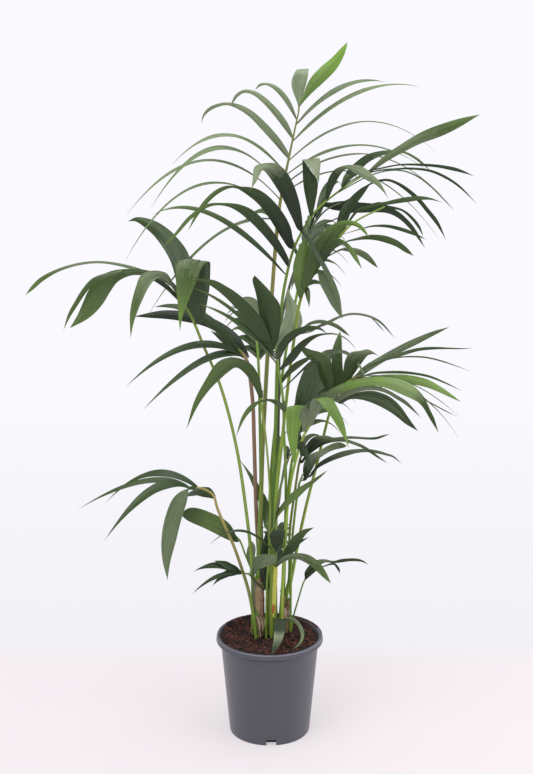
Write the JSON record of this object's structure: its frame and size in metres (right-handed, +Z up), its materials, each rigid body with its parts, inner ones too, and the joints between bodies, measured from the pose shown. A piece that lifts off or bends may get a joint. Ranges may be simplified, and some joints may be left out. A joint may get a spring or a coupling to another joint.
{
  "type": "potted kentia palm",
  "caption": "Potted kentia palm: slender stalks in one clump rise to arching feather fronds with long drooping leaflets, in a plain round tapered nursery pot.",
  "frame": {"origin": "centre of the pot's flat underside", "axes": "+Z up along the pot's axis, -Y towards the side that the picture shows, +X to its right"},
  "size_m": [0.9611, 0.5742, 1.5169],
  "materials": {
    "pot": "matt dark grey moulded plastic",
    "soil": "loose dark potting mix of bark chips and fibre",
    "sheath": "dry fibrous leaf sheaths, tan to yellow-green",
    "stalk": "smooth semi-gloss, yellow-green to olive brown",
    "leaf": "leathery semi-gloss green, paler below"
  },
  "bodies": {
    "root": {"pot": "pot", "soil": "soil", "left_stem": "sheath", "middle_stem": "sheath", "right_stem": "sheath", "crown_stalk": "stalk", "left_stalk": "stalk", "upper_right_stalk": "stalk", "shaded_right_stalk": "stalk", "right_arch_stalk": "stalk", "middle_left_stalk": "stalk", "bent_leaf_stalk": "stalk", "centre_stalk": "stalk", "right_fan_stalk": "stalk", "bright_front_stalk": "stalk", "low_right_stalk": "stalk", "low_right_twin_stalk": "stalk", "olive_stalk": "stalk", "low_left_stalk": "stalk", "entire_leaf_stalk": "stalk", "low_dark_stalk": "stalk", "low_middle_stalk": "stalk", "slanting_stalk": "stalk", "lowest_right_stalk": "stalk", "soil_leaf_stalk": "stalk", "back_left_stalk": "stalk", "back_right_stalk": "stalk", "back_low_stalk": "stalk", "back_upper_stalk": "stalk", "crown_frond": "leaf", "left_frond": "leaf", "upper_right_frond": "leaf", "shaded_right_frond": "leaf", "right_arch_frond": "leaf", "middle_left_frond": "leaf", "bent_leaf_frond": "leaf", "centre_frond": "leaf", "right_fan_frond": "leaf", "bright_front_frond": "leaf", "low_right_frond": "leaf", "low_right_twin_frond": "leaf", "olive_frond": "leaf", "low_left_frond": "leaf", "entire_leaf_frond": "leaf", "low_dark_frond": "leaf", "low_middle_frond": "leaf", "slanting_frond": "leaf", "lowest_right_frond": "leaf", "soil_leaf_frond": "leaf", "back_left_frond": "leaf", "back_right_frond": "leaf", "back_low_frond": "leaf", "back_upper_frond": "leaf"}
  },
  "joints": []
}
